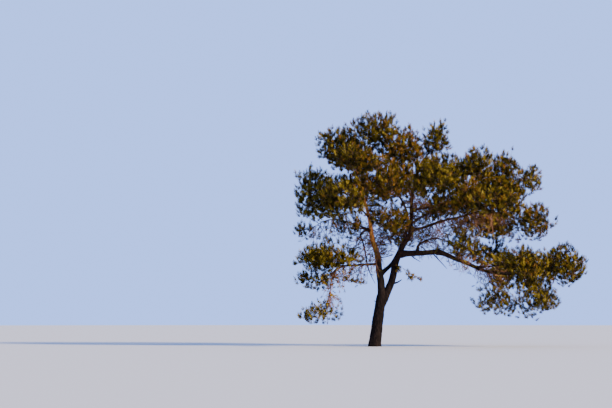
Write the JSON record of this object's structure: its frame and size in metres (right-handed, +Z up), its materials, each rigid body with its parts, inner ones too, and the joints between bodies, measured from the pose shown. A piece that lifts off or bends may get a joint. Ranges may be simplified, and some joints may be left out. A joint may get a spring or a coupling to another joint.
{
  "type": "scots pine tree",
  "caption": "Mature Scots pine with a short leaning trunk, a low fork, long spreading boughs and open, layered masses of needles, cut flat at ground level.",
  "frame": {"origin": "middle of the flat cut under the trunk, at ground level", "axes": "+Z up; +X to the right of the tree as pictured, along the long low bough; +Y away from the viewer"},
  "size_m": [11.6378, 6.8857, 9.3448],
  "materials": {
    "lower_bark": "rough, deeply fissured dark grey-brown bark",
    "upper_bark": "thin flaking orange-brown bark",
    "needles": "matt olive-green needles"
  },
  "bodies": {
    "root": {"trunk": "lower_bark", "left_stem": "upper_bark", "right_stem": "lower_bark", "back_stem": "upper_bark", "long_bough_inner": "lower_bark", "long_bough_outer": "lower_bark", "arch_bough": "upper_bark", "right_mid_bough": "upper_bark", "right_upper_bough": "upper_bark", "right_top_bough": "upper_bark", "right_far_bough": "upper_bark", "right_outer_bough": "upper_bark", "right_front_bough": "upper_bark", "right_back_bough": "upper_bark", "left_low_bough": "upper_bark", "left_hanging_bough": "upper_bark", "left_mid_bough": "upper_bark", "left_upper_bough": "upper_bark", "left_front_bough": "upper_bark", "left_back_bough": "upper_bark", "low_front_bough": "upper_bark", "low_back_bough": "upper_bark", "right_hanging_bough": "upper_bark", "crown_top": "needles", "upper_left": "needles", "upper_left_front": "needles", "upper_left_back": "needles", "upper_centre": "needles", "right_peak": "needles", "upper_right_front": "needles", "upper_right_back": "needles", "right_top": "needles", "right_top_far": "needles", "right_far": "needles", "left_outer": "needles", "left_front": "needles", "left_back": "needles", "centre_front": "needles", "centre_low": "needles", "centre_back": "needles", "right_inner": "needles", "stem_back": "needles", "right_middle": "needles", "right_centre": "needles", "right_back": "needles", "right_front": "needles", "right_outer": "needles", "right_low": "needles", "left_under": "needles", "arch_spray": "needles", "low_inner": "needles", "low_front": "needles", "low_outer": "needles", "low_back": "needles", "hanging_inner": "needles", "hanging_outer": "needles", "left_low_pad": "needles", "left_low_under": "needles", "left_drooping": "needles", "left_spray": "needles"}
  },
  "joints": []
}
